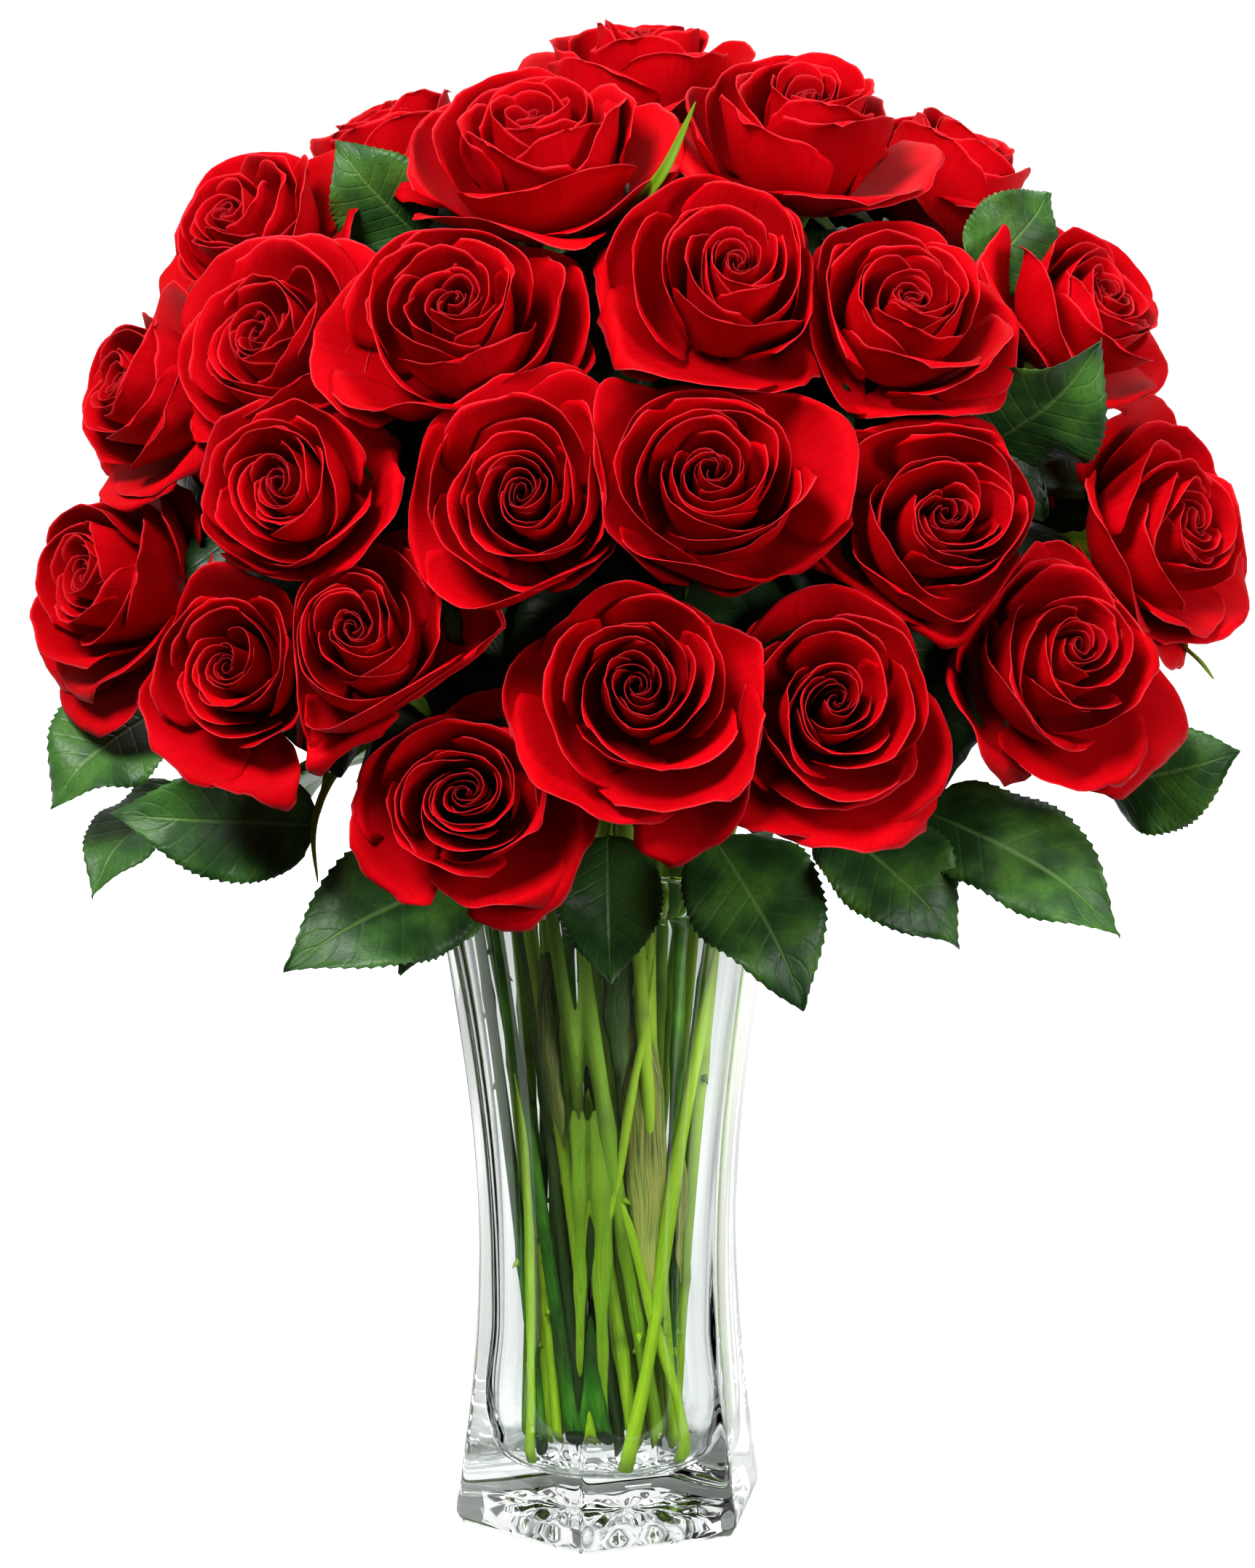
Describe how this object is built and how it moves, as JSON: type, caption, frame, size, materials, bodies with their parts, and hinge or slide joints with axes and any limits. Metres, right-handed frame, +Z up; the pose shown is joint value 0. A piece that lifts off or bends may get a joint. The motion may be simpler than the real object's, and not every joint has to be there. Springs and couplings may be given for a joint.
{
  "type": "roses in a vase",
  "caption": "Full dome of deep-red roses with toothed green leaves in a tall clear hexagonal flared glass vase, part filled with water; a free-standing table bouquet.",
  "frame": {"origin": "middle of the vase's flat base, where it stands", "axes": "+Z up along the vase; -Y toward the front of the bouquet, the side that the picture shows; +X to the right seen from the front"},
  "size_m": [0.4345, 0.3511, 0.5605],
  "materials": {
    "petal": "velvety matt petals with a soft sheen",
    "foliage": "satin green leaves, hips and stems",
    "glass": "polished clear glass",
    "water": "clear still water"
  },
  "bodies": {
    "root": {"vase": "glass", "water": "water", "bloom_01": "petal", "bloom_02": "petal", "bloom_03": "petal", "bloom_04": "petal", "bloom_05": "petal", "bloom_06": "petal", "bloom_07": "petal", "bloom_08": "petal", "bloom_09": "petal", "bloom_10": "petal", "bloom_11": "petal", "bloom_12": "petal", "bloom_13": "petal", "bloom_14": "petal", "bloom_15": "petal", "bloom_16": "petal", "bloom_17": "petal", "bloom_18": "petal", "bloom_19": "petal", "bloom_20": "petal", "bloom_21": "petal", "bloom_22": "petal", "bloom_23": "petal", "bloom_24": "petal", "bloom_25": "petal", "bloom_26": "petal", "bloom_27": "petal", "bloom_28": "petal", "bloom_29": "petal", "bloom_30": "petal", "bloom_31": "petal", "stem_01_25": "foliage", "stem_02": "foliage", "stem_03": "foliage", "stem_04": "foliage", "stem_05": "foliage", "stem_06": "foliage", "stem_07": "foliage", "stem_08": "foliage", "stem_09": "foliage", "stem_10": "foliage", "stem_11": "foliage", "stem_12": "foliage", "stem_13": "foliage", "stem_14": "foliage", "stem_15": "foliage", "stem_16": "foliage", "stem_17": "foliage", "stem_18": "foliage", "stem_19": "foliage", "stem_20": "foliage", "stem_21": "foliage", "stem_22": "foliage", "stem_23": "foliage", "stem_24": "foliage", "stem_26_30": "foliage", "stem_27_31": "foliage", "stem_28_29": "foliage"}
  },
  "joints": []
}
